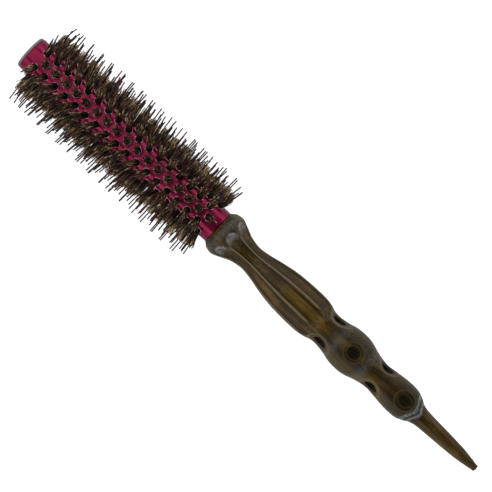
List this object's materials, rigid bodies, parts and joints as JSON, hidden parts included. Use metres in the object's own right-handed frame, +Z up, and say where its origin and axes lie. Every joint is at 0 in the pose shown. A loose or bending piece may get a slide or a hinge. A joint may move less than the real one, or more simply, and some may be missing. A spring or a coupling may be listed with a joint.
{
  "type": "round barrel brush",
  "caption": "Round hair brush: a slim drilled barrel set with boar tufts and nylon pins, on a fluted wooden handle that ends in a sectioning tail.",
  "frame": {"origin": "centre of the brush's bounding box, on the axis of the barrel and the handle", "axes": "+X along the brush from the barrel's end cap to the tip of the tail; +Z is up with the brush lying down, through the first row of tufts and the middle of a flute"},
  "size_m": [0.25, 0.0406, 0.0406],
  "materials": {
    "handle_wood": "olive-brown stain under gloss lacquer",
    "barrel_lacquer": "glossy raspberry",
    "cap_plastic": "satin grey",
    "boar_bristle": "mixed dark and blond natural bristle",
    "nylon_pin": "dark wine nylon",
    "anchor_wire": "bright flat wire"
  },
  "bodies": {
    "root": {"handle": "handle_wood", "barrel": "barrel_lacquer", "end_cap": "cap_plastic", "boar_row_01": "boar_bristle", "boar_row_02": "boar_bristle", "boar_row_03": "boar_bristle", "boar_row_04": "boar_bristle", "boar_row_05": "boar_bristle", "boar_row_06": "boar_bristle", "boar_row_07": "boar_bristle", "boar_row_08": "boar_bristle", "boar_row_09": "boar_bristle", "boar_row_10": "boar_bristle", "boar_row_11": "boar_bristle", "boar_row_12": "boar_bristle", "pin_row_01": "nylon_pin", "pin_row_02": "nylon_pin", "pin_row_03": "nylon_pin", "pin_row_04": "nylon_pin", "pin_row_05": "nylon_pin", "pin_row_06": "nylon_pin", "pin_row_07": "nylon_pin", "pin_row_08": "nylon_pin", "pin_row_09": "nylon_pin", "pin_row_10": "nylon_pin", "pin_row_11": "nylon_pin", "pin_row_12": "nylon_pin", "anchor_row_01": "anchor_wire", "anchor_row_02": "anchor_wire", "anchor_row_03": "anchor_wire", "anchor_row_04": "anchor_wire", "anchor_row_05": "anchor_wire", "anchor_row_06": "anchor_wire", "anchor_row_07": "anchor_wire", "anchor_row_08": "anchor_wire", "anchor_row_09": "anchor_wire", "anchor_row_10": "anchor_wire", "anchor_row_11": "anchor_wire", "anchor_row_12": "anchor_wire"}
  },
  "joints": []
}
